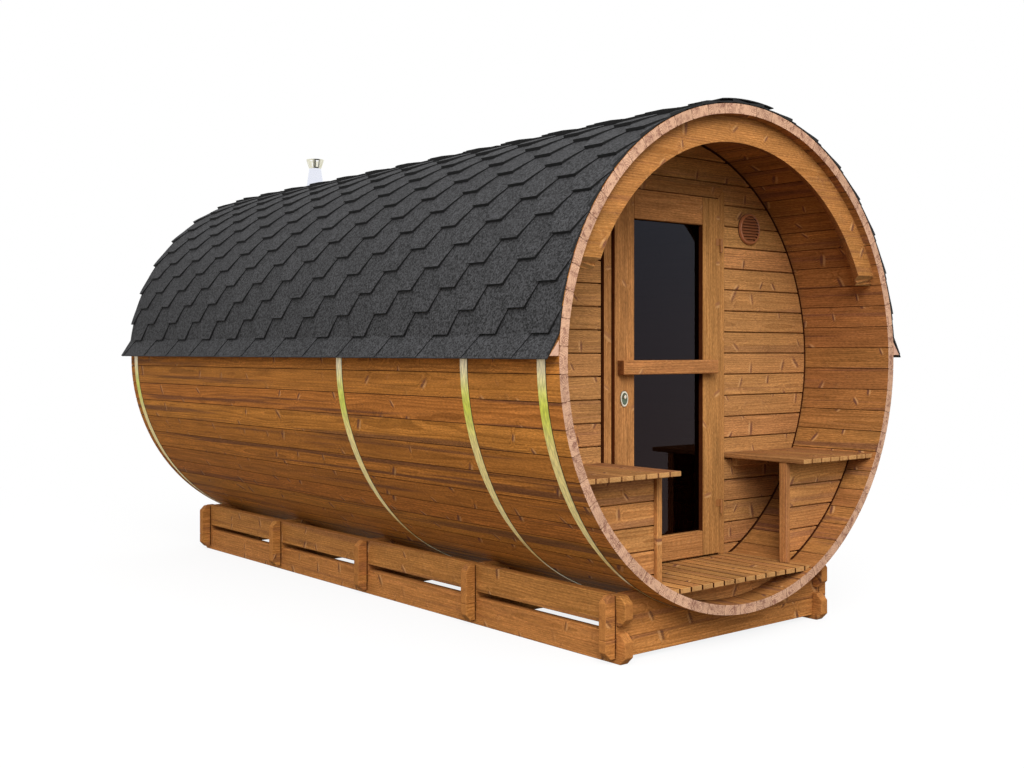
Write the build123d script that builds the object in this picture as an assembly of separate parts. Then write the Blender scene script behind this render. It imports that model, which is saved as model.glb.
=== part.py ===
from build123d import *
from math import asin, atan, ceil, cos, degrees, pi, radians, sin, sqrt
import os

# Barrel sauna: a stave barrel lying on a lapped log base, with an open porch at the front, a glazed
# door in a board wall, lapped shingles over the upper half and a steel chimney near the back.
# Millimetres. X is to the right of someone facing the door, Y runs from the front to the back and
# Z is up. The origin is on the ground, under the middle of the barrel.

# Barrel shell of staves
barrel_diameter = 2150
barrel_length = 4000
stave_thickness = 42
stave_count = 64
shell_segment_count = 8
barrel_lift = 135           # lowest stave above the ground
fit_clearance = 0.3         # between curved faces that seat on each other
cut_overrun = 20            # how far a cutting tool runs past the face it cuts

# Steel hoops round the staves
hoop_width = 50
hoop_thickness = 1.2
front_hoop_inset = 100
second_hoop_inset = 578
third_hoop_inset = 1536
rear_hoop_inset = 80

# End walls of horizontal boards
porch_depth = 481           # front rim to the face of the front wall
wall_thickness = 42
rear_wall_recess = 80

# Door opening, frame and leaf
leaf_width = 690
leaf_thickness = 42
leaf_gap = 5                # round the leaf, to the frame
leaf_floor_gap = 10
leaf_proud = 25             # leaf face in front of the wall's face
casing_width = 45
casing_head_height = 51
casing_proud = 10
door_head_room = 227        # top of the casing to the top of the barrel's inside
stop_width = 15
stop_gap = 5
door_stile_width = 120
door_top_rail = 130
door_bottom_rail = 115
glass_thickness = 8
glass_rebate = 12
glass_setback = 26          # leaf face to the glass
pull_length = 620
pull_height = 63
pull_thickness = 42
pull_offset = 20            # middle of the pull, left of the middle of the door
pull_drop = 38              # middle of the pull below the barrel's axis
pull_edge_radius = 6
lock_plate_width = 47
lock_plate_height = 72
lock_plate_thickness = 4
lock_edge_inset = 55        # middle of the lock to the leaf's closing edge
lock_drop = 175
lock_knob_diameter = 24
lock_knob_length = 9
hinge_knuckle_radius = 7
hinge_pin_radius = 4
hinge_pin_clearance = 0.1
hinge_knuckle_length = 32
hinge_knuckle_gap = 0.4
hinge_plate_thickness = 2
hinge_plate_width = 28
hinge_end_inset = 220       # middle of a hinge to the end of the leaf

# Round louvred vent on the front wall
vent_diameter = 150
vent_depth = 18
vent_rim_width = 14
vent_base_thickness = 4
vent_louvre_count = 6
vent_louvre_thickness = 3
vent_louvre_tilt = 40
vent_frame_gap = 110        # casing to the edge of the vent
vent_drop = 182             # middle of the vent below the top of the casing

# Floor and benches of slats that run along the barrel
slat_width = 60
slat_gap = 8
slat_thickness = 21
slat_front_setback = 17
narrowest_rip = 15          # a slat at the staves is left out if less of it would remain
floor_height = 108          # top of the floor above the lowest inside point
joist_thickness = 40
porch_joist_inset = 120
cabin_joist_count = 5
bench_height = 475
bench_inner_x = 400
bench_panel_thickness = 24
bench_panel_inset = 135
bench_post_width = 30
bench_post_depth = 40
bench_post_inset = 118
bench_post_offset = 5       # post face outside the bench's inner edge
bench_ledger_height = 45
bench_ledger_depth = 30
bench_ledger_inset = 60     # ledger's end back from the bench's inner edge

# Curved visor beam inside the front rim
visor_width = 113
visor_depth = 65
visor_inset = 30
visor_end_height = 345      # back edge of its sawn ends, above the barrel's axis
visor_end_slope = 44        # rise of an end's face from its back edge to its front edge

# Shingled roof and its eaves
shingle_thickness = 4
shingle_exposure = 98.5
starter_exposure = 100
ridge_cap_half_width = 165
eaves_batten_width = 47
eaves_batten_height = 61
eaves_height = 15           # underside of the batten above the barrel's axis
eaves_overhang = 15         # starter strip past the batten, along its slope

# Chimney
chimney_rear_inset = 400
flue_radius = 36
flue_wall = 2
flue_ceiling_drop = 40
flashing_foot_radius = 58
sheet_thickness = 2         # of the flashing and the crown
cone_flats = 40             # narrow flats that their cones are folded in
neck_height = 138           # above the shingles
crown_height = 58
crown_top_radius = 57
crown_slot_count = 8
crown_slot_share = 0.45     # of the crown's round that the slots take
crown_ring_height = 8

# Lapped base of rails and cross beams
rail_thickness = 45
rail_height = 123
rail_gap = 28               # between the lower and the upper rail
rail_outer_width = 1316
rail_overhang = 52          # past the faces of the first and the last cross beam
rail_ear = 30
crossbeam_count = 5
crossbeam_thickness = 42
crossbeam_length = 1430
crossbeam_hoop_gap = 4      # front hoop to the face of the first cross beam
crossbeam_rear_inset = 224
crossbeam_ear = 28
lower_board_lift = 20
lower_board_height = 78
lap_share = 0.5             # of a rail's height that stays where it is notched

# Sizes that follow
outer_radius = barrel_diameter / 2
inner_radius = outer_radius - stave_thickness
axis_height = barrel_lift + outer_radius
front_y = -barrel_length / 2
rear_y = barrel_length / 2
wall_front_y = front_y + porch_depth
wall_back_y = wall_front_y + wall_thickness
rear_wall_y = rear_y - rear_wall_recess - wall_thickness
hoop_inner_radius = outer_radius + fit_clearance
hoop_outer_radius = hoop_inner_radius + hoop_thickness
roof_inner_radius = hoop_outer_radius + fit_clearance
roof_outer_radius = roof_inner_radius + 3 * shingle_thickness
clear_radius = inner_radius - fit_clearance
floor_z = floor_height - inner_radius
bench_z = floor_z + bench_height
slat_pitch = slat_width + slat_gap
chimney_y = rear_y - chimney_rear_inset
leaf_half = leaf_width / 2
frame_inner_x = leaf_half + leaf_gap
frame_outer_x = frame_inner_x + casing_width
frame_top_z = inner_radius - door_head_room
frame_head_z = frame_top_z - casing_head_height
leaf_top_z = frame_head_z - leaf_gap
leaf_bottom_z = floor_z + leaf_floor_gap
leaf_front_y = wall_front_y - leaf_proud
leaf_back_y = leaf_front_y + leaf_thickness

os.makedirs("parts", exist_ok=True)


def save(name, *solids):
    """Write the solids of one node."""
    shape = solids[0] if len(solids) == 1 else Compound(children=list(solids))
    export_step(shape, f"parts/{name}.step")


def along_barrel(profile, start_y, end_y):
    """Extrude a cross-section drawn about the barrel's axis, with X across and Y up."""
    back = Plane(origin=(0, end_y, axis_height), x_dir=(1, 0, 0), z_dir=(0, -1, 0))
    return extrude(back * profile, amount=end_y - start_y)


def window(low_x, high_x, low_z, high_z):
    """A rectangle of a cross-section, by its edges."""
    middle = Pos((low_x + high_x) / 2, (low_z + high_z) / 2)
    return middle * Rectangle(high_x - low_x, high_z - low_z)


def block(low_x, high_x, start_y, end_y, low_z, high_z):
    """A board by its edges, with heights above the barrel's axis."""
    return along_barrel(window(low_x, high_x, low_z, high_z), start_y, end_y)


def inside_barrel(low_x, high_x, low_z, high_z):
    """The part of the barrel's clear cross-section within a rectangle."""
    return window(low_x, high_x, low_z, high_z) & Circle(clear_radius)


def ring_sector(inner, outer, start_angle, end_angle):
    """A sector of a ring between two angles from the right-hand horizontal."""
    sweep = end_angle - start_angle
    inside = CenterArc((0, 0), inner, start_angle, sweep)
    outside = CenterArc((0, 0), outer, start_angle, sweep)
    ends = [Line(inside @ 0, outside @ 0), Line(inside @ 1, outside @ 1)]
    return make_face([inside, outside, *ends])


def polygon(*points):
    """A face with straight edges."""
    return make_face(Polyline(*points, close=True))


def half_width(level):
    """Half the barrel's inside width at a level."""
    return sqrt(inner_radius**2 - level**2)


def upright_cylinder(radius, x, y, low_z, high_z):
    """An upright round bar, by its heights above the barrel's axis."""
    return Pos(x, y, axis_height + (low_z + high_z) / 2) * Cylinder(radius, high_z - low_z)


# Shell: segments of eight staves, with a whole stave centred on each horizontal and on the top
stave_angle = 360 / stave_count
segment_angle = 360 / shell_segment_count
first_joint = stave_angle / 2 - segment_angle / 2
flue_hole_radius = flue_radius + fit_clearance
chimney_hole = upright_cylinder(flue_hole_radius, 0, chimney_y, 0, roof_outer_radius + cut_overrun)
for number in range(shell_segment_count):
    start = first_joint + number * segment_angle
    staves_profile = ring_sector(inner_radius, outer_radius, start, start + segment_angle)
    staves = along_barrel(staves_profile, front_y, rear_y)
    if start < 90 < start + segment_angle:
        staves -= chimney_hole
    save(f"shell_segment_{number + 1}", staves)

# Hoops: flat steel bands drawn tight round the staves
hoop_stations = [
    front_y + front_hoop_inset,
    front_y + second_hoop_inset,
    front_y + third_hoop_inset,
    rear_y - rear_hoop_inset,
]
hoop_profile = Circle(hoop_outer_radius) - Circle(hoop_inner_radius)
hoops = [along_barrel(hoop_profile, y - hoop_width / 2, y + hoop_width / 2) for y in hoop_stations]
save("hoops", *hoops)

# Front wall in four fields round the door frame, and the rear wall in one
wall_fields = {
    "front_wall_left": (-outer_radius, -frame_outer_x, -outer_radius, outer_radius),
    "front_wall_right": (frame_outer_x, outer_radius, -outer_radius, outer_radius),
    "front_wall_top": (-frame_outer_x, frame_outer_x, frame_top_z, outer_radius),
    "front_wall_bottom": (-frame_outer_x, frame_outer_x, -outer_radius, floor_z),
}
for name, edges in wall_fields.items():
    save(name, along_barrel(inside_barrel(*edges), wall_front_y, wall_back_y))
save("rear_wall", along_barrel(Circle(clear_radius), rear_wall_y, rear_wall_y + wall_thickness))

# Door frame: two jambs and a head, mitred at the front corners, each with a stop behind the leaf
frame_front_y = wall_front_y - casing_proud
stop_front_y = leaf_back_y + stop_gap
stop_inner_x = frame_inner_x - stop_width
stop_head_z = frame_head_z - stop_width


def frame_member(lining, stop):
    """A piece of the door frame: its lining with the stop behind the leaf."""
    return along_barrel(lining, frame_front_y, wall_back_y) + along_barrel(stop, stop_front_y, wall_back_y)


def jamb(side):
    """One upright of the door frame, on the left (-1) or the right (1)."""
    lining = polygon(
        (side * frame_inner_x, floor_z),
        (side * frame_outer_x, floor_z),
        (side * frame_outer_x, frame_top_z),
        (side * frame_inner_x, frame_head_z),
    )
    stop = polygon(
        (side * stop_inner_x, floor_z),
        (side * frame_inner_x, floor_z),
        (side * frame_inner_x, frame_head_z),
        (side * stop_inner_x, stop_head_z),
    )
    return frame_member(lining, stop)


head_lining = polygon(
    (-frame_outer_x, frame_top_z),
    (frame_outer_x, frame_top_z),
    (frame_inner_x, frame_head_z),
    (-frame_inner_x, frame_head_z),
)
head_stop = polygon(
    (-frame_inner_x, frame_head_z),
    (frame_inner_x, frame_head_z),
    (stop_inner_x, stop_head_z),
    (-stop_inner_x, stop_head_z),
)
save("door_jamb_left", jamb(-1))
save("door_jamb_right", jamb(1))
save("door_head", frame_member(head_lining, head_stop))

# Door leaf: stiles and rails grooved for one pane of dark glass
glass_half = leaf_half - door_stile_width + glass_rebate
glass_top_z = leaf_top_z - door_top_rail + glass_rebate
glass_bottom_z = leaf_bottom_z + door_bottom_rail - glass_rebate
glass_front_y = leaf_front_y + glass_setback
glass_back_y = glass_front_y + glass_thickness
groove = block(-glass_half, glass_half, glass_front_y, glass_back_y, glass_bottom_z, glass_top_z)
stile_inner_x = leaf_half - door_stile_width
stiles = [
    block(low_x, low_x + door_stile_width, leaf_front_y, leaf_back_y, leaf_bottom_z, leaf_top_z) - groove
    for low_x in (-leaf_half, stile_inner_x)
]
rail_levels = [(leaf_top_z - door_top_rail, leaf_top_z), (leaf_bottom_z, leaf_bottom_z + door_bottom_rail)]
rails = [
    block(-stile_inner_x, stile_inner_x, leaf_front_y, leaf_back_y, low_z, high_z) - groove
    for low_z, high_z in rail_levels
]
save("door_stiles", *stiles)
save("door_rails", *rails)
save("door_glass", groove)

# Pull: a wooden bar across the leaf, with its front edges eased
pull = block(
    -pull_offset - pull_length / 2,
    -pull_offset + pull_length / 2,
    leaf_front_y - pull_thickness,
    leaf_front_y,
    -pull_drop - pull_height / 2,
    -pull_drop + pull_height / 2,
)
pull = fillet(pull.faces().sort_by(Axis.Y)[0].edges(), pull_edge_radius)
save("door_pull", pull)

# Lock: an oval plate on the closing stile with a round knob
lock_place = Pos(lock_edge_inset - leaf_half, -lock_drop)
lock_plate = along_barrel(
    lock_place * Ellipse(lock_plate_width / 2, lock_plate_height / 2),
    leaf_front_y - lock_plate_thickness,
    leaf_front_y,
)
lock_knob = along_barrel(
    lock_place * Circle(lock_knob_diameter / 2),
    leaf_front_y - lock_plate_thickness - lock_knob_length,
    leaf_front_y - lock_plate_thickness,
)
save("door_lock", lock_plate + lock_knob)

# Hinges: a knuckle on the leaf turns on the pin of a knuckle on the frame
hinge_x = leaf_half + leaf_gap / 2
hinge_y = leaf_front_y - hinge_knuckle_radius - fit_clearance
hinge_levels = [leaf_bottom_z + hinge_end_inset, leaf_top_z - hinge_end_inset]


def leaf_hinge(level):
    """The upper half of a hinge: a bored knuckle and the plate on the leaf's face."""
    low = level + hinge_knuckle_gap
    high = level + hinge_knuckle_length
    knuckle = upright_cylinder(hinge_knuckle_radius, hinge_x, hinge_y, low, high)
    plate_y = leaf_front_y - hinge_plate_thickness
    plate = block(leaf_half - hinge_plate_width, leaf_half, plate_y, leaf_front_y, low, high)
    bridge = block(leaf_half - hinge_knuckle_radius, leaf_half, hinge_y, leaf_front_y, low, high)
    bore_radius = hinge_pin_radius + hinge_pin_clearance
    bore = upright_cylinder(bore_radius, hinge_x, hinge_y, low - cut_overrun, high + cut_overrun)
    return knuckle + plate + bridge - bore


def frame_hinge(level):
    """The lower half of a hinge: a knuckle with its pin and the cranked plate on the casing."""
    low = level - hinge_knuckle_length
    knuckle = upright_cylinder(hinge_knuckle_radius, hinge_x, hinge_y, low, level)
    pin = upright_cylinder(hinge_pin_radius, hinge_x, hinge_y, low, level + hinge_knuckle_length)
    crank_x = frame_inner_x
    crank = block(crank_x, crank_x + hinge_plate_thickness, hinge_y, frame_front_y, low, level)
    flange = block(
        crank_x,
        crank_x + hinge_plate_width,
        frame_front_y - hinge_plate_thickness,
        frame_front_y,
        low,
        level,
    )
    return knuckle + pin + crank + flange


save("door_hinge_leaves", *[leaf_hinge(level) for level in hinge_levels])
save("frame_hinge_pins", *[frame_hinge(level) for level in hinge_levels])

# Vent: a round cover with a raised rim and tilted louvres across it
vent_radius = vent_diameter / 2
vent_mouth = vent_radius - vent_rim_width
vent_place = Pos(frame_outer_x + vent_frame_gap + vent_radius, frame_top_z - vent_drop)
vent_face_y = wall_front_y - vent_depth
vent_base = along_barrel(vent_place * Circle(vent_radius), wall_front_y - vent_base_thickness, wall_front_y)
vent_rim = along_barrel(vent_place * (Circle(vent_radius) - Circle(vent_mouth)), vent_face_y, wall_front_y)
vent_bore = along_barrel(vent_place * Circle(vent_mouth), vent_face_y, wall_front_y)
vent_pitch = 2 * vent_mouth / vent_louvre_count
louvre_run = cos(radians(vent_louvre_tilt))
louvre_depth = vent_depth - vent_base_thickness
vent_cover = vent_base + vent_rim
for number in range(vent_louvre_count):
    level = (2 * number + 1) * vent_pitch / 2 - vent_mouth
    blade = Pos(0, wall_front_y - vent_base_thickness - louvre_depth / 2, axis_height)
    blade *= Pos(vent_place.position.X, 0, vent_place.position.Y + level)
    blade *= Rot(vent_louvre_tilt, 0, 0)
    vent_cover += blade * Box(2 * vent_radius, louvre_depth / louvre_run, vent_louvre_thickness) & vent_bore
save("vent_cover", vent_cover)


# Floors and benches: slats ripped to the staves' curve where they meet it
def slat_row(first_x, side, top_z, start_y, end_y):
    """Slats side by side from an inner edge out to the staves."""
    reach = half_width(top_z) - first_x - narrowest_rip
    row = []
    for number in range(int(reach / slat_pitch) + 1):
        near = first_x + number * slat_pitch
        edges = sorted((side * near, side * (near + slat_width)))
        row.append(along_barrel(inside_barrel(*edges, top_z - slat_thickness, top_z), start_y, end_y))
    return row


def floor_slats(start_y, end_y):
    """A floor of slats either side of the middle gap."""
    return [slat for side in (-1, 1) for slat in slat_row(slat_gap / 2, side, floor_z, start_y, end_y)]


slat_front_y = front_y + slat_front_setback
save("porch_floor", *floor_slats(slat_front_y, wall_front_y))
save("cabin_floor", *floor_slats(wall_back_y, rear_wall_y))

# Joists: sawn to the curve of the staves, under the slats
joist_profile = inside_barrel(-inner_radius, inner_radius, -inner_radius, floor_z - slat_thickness)
porch_joists = [
    along_barrel(joist_profile, y, y + joist_thickness)
    for y in (front_y + porch_joist_inset, wall_front_y - joist_thickness)
]
cabin_joist_pitch = (rear_wall_y - wall_back_y - joist_thickness) / (cabin_joist_count - 1)
cabin_joists = [
    along_barrel(joist_profile, y, y + joist_thickness)
    for y in (wall_back_y + number * cabin_joist_pitch for number in range(cabin_joist_count))
]
save("floor_joists", *porch_joists, *cabin_joists)

# Benches: slats on a board panel with a post at its inner edge, and on a ledger along the wall
bench_underside_z = bench_z - slat_thickness
ledger_bottom_z = bench_underside_z - bench_ledger_height
post_inner_x = bench_inner_x + bench_post_offset
post_outer_x = post_inner_x + bench_post_width
post_y = front_y + bench_post_inset
panel_y = front_y + bench_panel_inset
posts = []
ledgers = []
for side, name in ((-1, "left"), (1, "right")):
    save(f"bench_slats_{name}", *slat_row(bench_inner_x, side, bench_z, slat_front_y, wall_front_y))
    panel_edges = sorted((side * post_outer_x, side * inner_radius))
    panel_profile = inside_barrel(*panel_edges, floor_z, bench_underside_z)
    save(f"bench_panel_{name}", along_barrel(panel_profile, panel_y, panel_y + bench_panel_thickness))
    post_edges = sorted((side * post_inner_x, side * post_outer_x))
    posts.append(block(*post_edges, post_y, post_y + bench_post_depth, floor_z, bench_underside_z))
    ledger_edges = sorted((side * (bench_inner_x + bench_ledger_inset), side * inner_radius))
    ledger_profile = inside_barrel(*ledger_edges, ledger_bottom_z, bench_underside_z)
    ledgers.append(along_barrel(ledger_profile, wall_front_y - bench_ledger_depth, wall_front_y))
save("bench_posts", *posts)
save("bench_ledgers", *ledgers)

# Visor: a sawn arch under the staves at the front rim
visor_profile = Circle(clear_radius) - Circle(inner_radius - visor_width)
visor_profile &= window(-inner_radius, inner_radius, visor_end_height, outer_radius)
visor_y = front_y + visor_inset
visor = along_barrel(visor_profile, visor_y, visor_y + visor_depth)
visor_end_z = axis_height + visor_end_height
visor_offcut = polygon(
    (visor_y, visor_end_z),
    (visor_y + visor_depth, visor_end_z),
    (visor_y, visor_end_z + visor_end_slope),
)
visor -= extrude(Plane.YZ * visor_offcut, amount=inner_radius, both=True)
save("front_visor", visor)

# Eaves battens: triangular strips that kick the lowest shingles out
batten_top_z = eaves_height + eaves_batten_height
batten_top_x = sqrt(roof_inner_radius**2 - batten_top_z**2)
batten_tip_x = roof_inner_radius + eaves_batten_width
battens = []
for side in (-1, 1):
    triangle = polygon(
        (side * batten_top_x, batten_top_z),
        (side * batten_tip_x, eaves_height),
        (side * inner_radius, eaves_height),
    )
    battens.append(along_barrel(triangle - Circle(roof_inner_radius), front_y, rear_y))
save("eaves_battens", *battens)

# Roof: courses of shingles that lap one another, over a starter strip on the eaves batten
slope_length = sqrt((batten_tip_x - batten_top_x) ** 2 + eaves_batten_height**2)
slope_x = (batten_tip_x - batten_top_x) / slope_length
slope_z = -eaves_batten_height / slope_length
tip_x = batten_tip_x + eaves_overhang * slope_x
tip_z = eaves_height + eaves_overhang * slope_z
strip_thickness = 2 * shingle_thickness
quarter_arc = pi / 2 * roof_inner_radius
course_count = ceil((quarter_arc - starter_exposure) / shingle_exposure)


def on_roof(arc, layers):
    """A point on the right half of the roof, by its arc above the axis and the shingles under it."""
    angle = arc / roof_inner_radius
    radius = roof_inner_radius + layers * shingle_thickness
    return (radius * cos(angle), radius * sin(angle))


def roof_half(side):
    """The shingles of one side of the roof, from the eaves to the ridge."""
    outline = [(tip_x, tip_z), (tip_x - strip_thickness * slope_z, tip_z + strip_thickness * slope_x)]
    outline.append(on_roof(starter_exposure, 2))
    for course in range(course_count):
        low_arc = starter_exposure + course * shingle_exposure
        high_arc = min(low_arc + shingle_exposure, quarter_arc)
        outline += [on_roof(low_arc, 3), on_roof(high_arc, 2)]
    outline += [(0, roof_inner_radius)]
    outer_edges = Polyline(*[(side * x, z) for x, z in outline])
    batten_angle = degrees(asin(batten_top_z / roof_inner_radius))
    start_angle = batten_angle if side > 0 else 180 - batten_angle
    under = CenterArc((0, 0), roof_inner_radius, start_angle, 90 - start_angle)
    slope = Line((side * tip_x, tip_z), (side * batten_top_x, batten_top_z))
    shingles = along_barrel(make_face([outer_edges, under, slope]), front_y, rear_y)
    return shingles - chimney_hole


save("roof_left", roof_half(-1))
save("roof_right", roof_half(1))

# Ridge cap: shingles bent over the ridge
cap_angle = degrees(ridge_cap_half_width / roof_outer_radius)
cap_inner_radius = roof_outer_radius + fit_clearance
cap_outer_radius = cap_inner_radius + shingle_thickness
cap_profile = ring_sector(cap_inner_radius, cap_outer_radius, 90 - cap_angle, 90 + cap_angle)
ridge_cap = along_barrel(cap_profile, front_y, rear_y)
cap_hole_radius = flashing_foot_radius + fit_clearance
cap_hole = upright_cylinder(cap_hole_radius, 0, chimney_y, 0, roof_outer_radius + cut_overrun)
save("ridge_cap", ridge_cap - cap_hole)

# Chimney: a flue through the roof, a conical flashing round it and a slotted, flared crown
neck_z = roof_outer_radius + neck_height
neck_radius = flue_radius + fit_clearance
flue_low_z = inner_radius - flue_ceiling_drop
flue = upright_cylinder(flue_radius, 0, chimney_y, flue_low_z, neck_z)
flue_bore_low_z = flue_low_z - cut_overrun
flue -= upright_cylinder(flue_radius - flue_wall, 0, chimney_y, flue_bore_low_z, neck_z + cut_overrun)
save("chimney_flue", flue)


def folded_cone(wide_radius, narrow_radius, rise):
    """A sheet cone folded in narrow flats, stood on its wide end, by its radii outside."""
    taper = degrees(atan((wide_radius - narrow_radius) / rise))
    outside = RegularPolygon(wide_radius, cone_flats, major_radius=False)
    inside = RegularPolygon(wide_radius - sheet_thickness, cone_flats, major_radius=False)
    return extrude(outside, amount=rise, taper=taper) - extrude(inside, amount=rise, taper=taper)


collar_radius = neck_radius + sheet_thickness
crown_top_z = neck_z + crown_height
flashing_foot_z = roof_outer_radius + fit_clearance
flashing = folded_cone(flashing_foot_radius, collar_radius, neck_z - flashing_foot_z)
save("chimney_flashing", Pos(0, chimney_y, axis_height + flashing_foot_z) * flashing)

slot_profile = window(0, crown_top_radius, neck_z + crown_ring_height, crown_top_z - crown_ring_height)
crown_pitch = 360 / crown_slot_count
chimney_plane = Plane(origin=(0, chimney_y, axis_height), x_dir=(1, 0, 0), z_dir=(0, -1, 0))
chimney_axis = Axis((0, chimney_y, 0), (0, 0, 1))
crown_slot = revolve(chimney_plane * slot_profile, chimney_axis, crown_slot_share * crown_pitch)
crown = Rot(180, 0, 0) * folded_cone(crown_top_radius, collar_radius, crown_height)
crown = Pos(0, chimney_y, axis_height + crown_top_z) * crown
for number in range(crown_slot_count):
    crown -= crown_slot.rotate(chimney_axis, (number + crown_slot_share) * crown_pitch)
save("chimney_crown", crown)

# Base: lower and upper rails along the barrel, lapped with cross beams that cradle it
rail_outer_x = rail_outer_width / 2
rail_inner_x = rail_outer_x - rail_thickness
upper_rail_z = rail_height + rail_gap
base_top_z = upper_rail_z + rail_height
board_top_z = lower_board_lift + lower_board_height
lower_lap_z = lap_share * rail_height
upper_lap_z = upper_rail_z + lap_share * rail_height
first_crossbeam_y = hoop_stations[0] + hoop_width / 2 + crossbeam_hoop_gap + crossbeam_thickness / 2
last_crossbeam_y = rear_y - crossbeam_rear_inset
crossbeam_run = last_crossbeam_y - first_crossbeam_y
crossbeam_pitch = crossbeam_run / (crossbeam_count - 1)
crossbeam_stations = [first_crossbeam_y + number * crossbeam_pitch for number in range(crossbeam_count)]
rail_length = crossbeam_run + crossbeam_thickness + 2 * rail_overhang
rail_middle_y = (first_crossbeam_y + last_crossbeam_y) / 2


def from_ground(low_x, high_x, start_y, end_y, low_z, high_z):
    """A block by its edges, with heights above the ground."""
    return block(low_x, high_x, start_y, end_y, low_z - axis_height, high_z - axis_height)


def rail(side, low_z, notch_low_z, notch_high_z):
    """A rail along the barrel, with ears sawn at its ends, notched where the cross beams pass."""
    high_z = low_z + rail_height
    plank = Pos(rail_middle_y, (low_z + high_z) / 2) * Rectangle(rail_length, rail_height)
    profile = chamfer(plank.vertices(), rail_ear)
    low_x = rail_inner_x if side > 0 else -rail_outer_x
    high_x = low_x + rail_thickness
    timber = extrude(Plane.YZ.offset(low_x) * profile, amount=rail_thickness)
    half = crossbeam_thickness / 2
    for y in crossbeam_stations:
        timber -= from_ground(low_x, high_x, y - half, y + half, notch_low_z, notch_high_z)
    return timber


def crossbeam(y, outer_corners, notch_low_z, notch_high_z):
    """A cross beam under the barrel, with ears at its outer corners, notched where the rails pass."""
    profile = Pos(0, -axis_height) * chamfer(outer_corners, crossbeam_ear)
    profile -= Circle(outer_radius + fit_clearance)
    start_y = y - crossbeam_thickness / 2
    end_y = y + crossbeam_thickness / 2
    timber = along_barrel(profile, start_y, end_y)
    for low_x in (-rail_outer_x, rail_inner_x):
        timber -= from_ground(low_x, low_x + rail_thickness, start_y, end_y, notch_low_z, notch_high_z)
    return timber


save("lower_rails", *[rail(side, 0, lower_lap_z, rail_height) for side in (-1, 1)])
save("upper_rails", *[rail(side, upper_rail_z, upper_rail_z, upper_lap_z) for side in (-1, 1)])

# Cross beams: a lower board with a cradle on it, sawn off at the outer corners of the pair
half_beam = crossbeam_length / 2
lower_board = window(-half_beam, half_beam, lower_board_lift, board_top_z)
lower_corners = lower_board.vertices().group_by(Axis.Y)[0]
save("lower_crossbeams", *[
    crossbeam(y, lower_corners, lower_board_lift, lower_lap_z) for y in crossbeam_stations
])
cradle = window(-half_beam, half_beam, board_top_z, base_top_z)
cradle_corners = cradle.vertices().group_by(Axis.Y)[-1]
save("cradle_beams", *[
    crossbeam(y, cradle_corners, upper_lap_z, base_top_z) for y in crossbeam_stations
])
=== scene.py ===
import math
import random

import bmesh
import bpy
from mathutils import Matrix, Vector


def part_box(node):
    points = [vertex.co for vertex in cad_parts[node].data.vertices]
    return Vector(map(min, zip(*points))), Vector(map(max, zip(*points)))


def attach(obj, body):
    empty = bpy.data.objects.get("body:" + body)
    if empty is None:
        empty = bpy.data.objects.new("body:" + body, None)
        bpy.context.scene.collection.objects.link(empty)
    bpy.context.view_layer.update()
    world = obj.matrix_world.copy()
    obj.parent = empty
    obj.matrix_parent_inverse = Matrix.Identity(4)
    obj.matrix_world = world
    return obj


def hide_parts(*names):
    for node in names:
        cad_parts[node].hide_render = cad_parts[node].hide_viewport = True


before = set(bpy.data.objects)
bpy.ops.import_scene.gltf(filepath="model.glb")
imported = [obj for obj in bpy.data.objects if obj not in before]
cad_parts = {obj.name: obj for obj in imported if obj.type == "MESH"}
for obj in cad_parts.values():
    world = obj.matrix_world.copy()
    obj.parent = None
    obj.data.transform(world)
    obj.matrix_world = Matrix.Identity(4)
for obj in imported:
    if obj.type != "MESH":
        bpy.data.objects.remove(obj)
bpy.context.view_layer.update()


# Base rails: two planks along each side, one above the other, of planed pine oiled brown.
# Their ends are sawn to ears, and notches lap them into the cross beams like logs.
x_way, y_way, z_way = 0, 1, 2
timber_edge = 0.004
merge_reach = 1e-5
flat_angle, sharp_angle = math.radians(0.8), math.radians(25)
end_facing, side_facing = 0.75, 0.9        # how squarely a face looks along an axis to be an end or a side
soft, rgba = {"interpolation_type": "SMOOTHSTEP"}, {"data_type": "RGBA"}
ring_width = 0.009           # real rings are 1 to 3 mm apart; these are wider, to show across a garden
wood_surface = {"IOR": 1.45, "Specular IOR Level": 0.08}       # oiled wood has next to no shine


def linear(code):
    """The linear colour of an sRGB hex code."""
    shares = [int(code[place:place + 2], 16) / 255 for place in (1, 3, 5)]
    return [*(s / 12.92 if s <= 0.04045 else ((s + 0.055) / 1.055) ** 2.4 for s in shares), 1]


def wire(node, links):
    """Give a node's input sockets a value or another node's output."""
    for socket, source in links.items():
        if isinstance(source, bpy.types.NodeSocket):
            node.id_data.links.new(source, node.inputs[socket])
        else:
            node.inputs[socket].default_value = source


def add(tree, kind, links=None, operation=None, **settings):
    """The outputs of one node with its settings and links; a kind without "Node" is a shader's."""
    made = tree.nodes.new(kind if "Node" in kind else f"ShaderNode{kind}")
    if operation:
        made.operation = operation
    for name, value in settings.items():
        setattr(made, name, value)
    wire(made, links or {})
    return made.outputs


def blank(name):
    """A new material, with its node tree and the shader of its surface."""
    material = bpy.data.materials.new(name)
    material.use_nodes = True
    return material, material.node_tree, material.node_tree.nodes["Principled BSDF"]


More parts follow.
